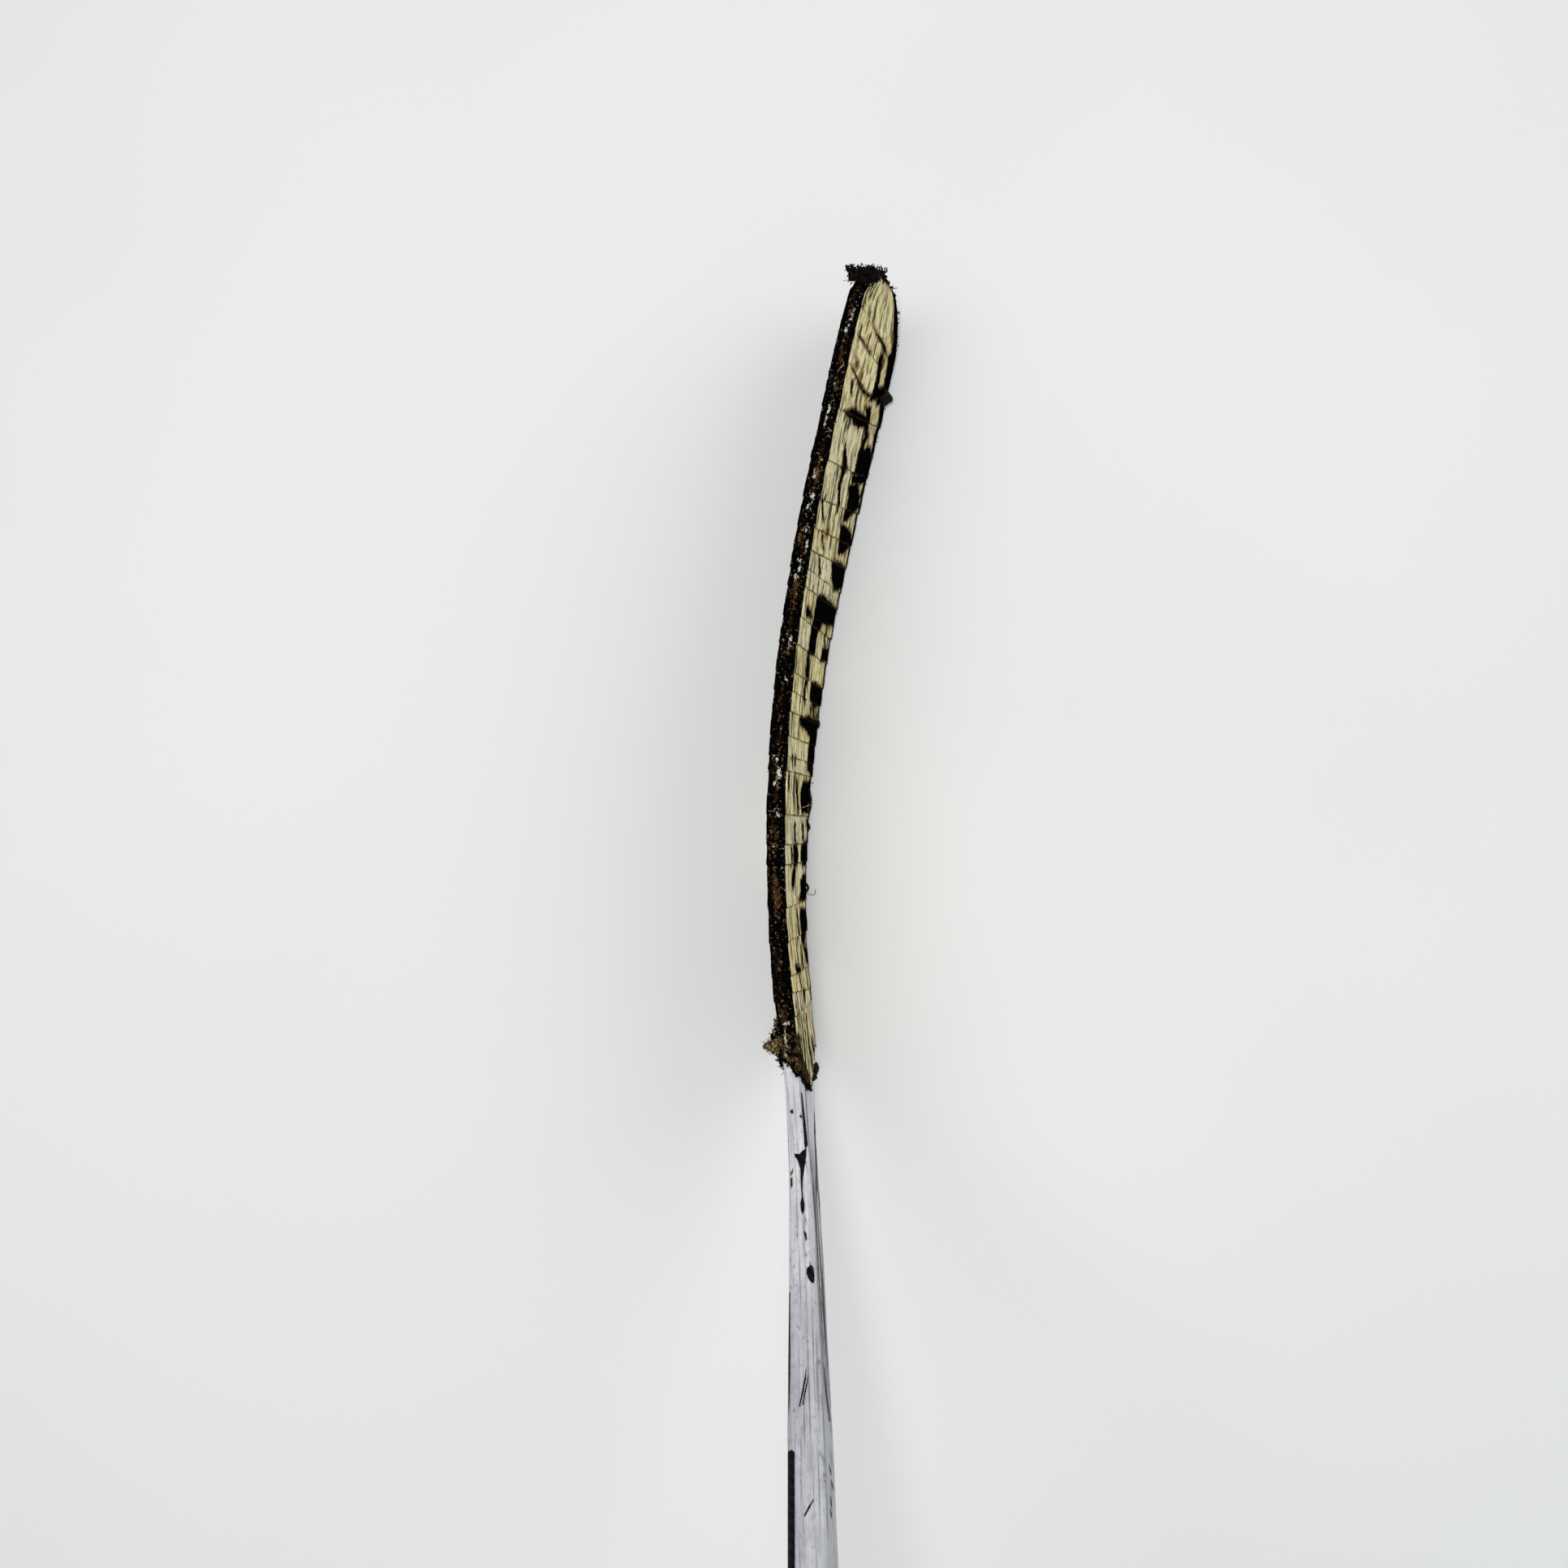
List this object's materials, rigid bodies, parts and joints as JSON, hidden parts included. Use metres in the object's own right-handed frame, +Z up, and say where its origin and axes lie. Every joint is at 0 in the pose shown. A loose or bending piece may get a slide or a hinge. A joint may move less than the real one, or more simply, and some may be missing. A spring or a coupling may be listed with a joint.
{
  "type": "ice hockey stick",
  "caption": "Left-curve ice hockey stick: long tapered rectangular shaft and a curved, cloth-taped blade worn on its concave hitting face.",
  "frame": {"origin": "bottom centre of the whole stick's box, with the blade's sole on the floor in the playing position", "axes": "+X towards the blade's toe, +Z up, -Y is the side the concave forehand face looks to"},
  "size_m": [1.338, 0.0884, 1.0527],
  "materials": {
    "shaft_paint": "white paint over woven carbon, chipped to black",
    "carbon": "bare carbon laminate",
    "foam": "rigid foam",
    "cloth_tape": "black cotton friction tape, worn to cream cloth on the hitting side",
    "grip": "black cotton friction tape",
    "plug": "moulded plastic, satin"
  },
  "bodies": {
    "root": {"shaft_tube": "shaft_paint", "blade_tang": "carbon", "heel_block": "shaft_paint", "forehand_skin": "carbon", "backhand_skin": "carbon", "upper_core": "foam", "lower_core": "foam", "core_rib": "carbon", "edge_band": "carbon", "blade_tape": "cloth_tape", "toe_tape": "cloth_tape", "toe_tape_tab": "cloth_tape", "heel_tape_tail": "cloth_tape", "butt_plug": "plug", "grip_tape": "grip", "knob_tape": "grip"}
  },
  "joints": []
}
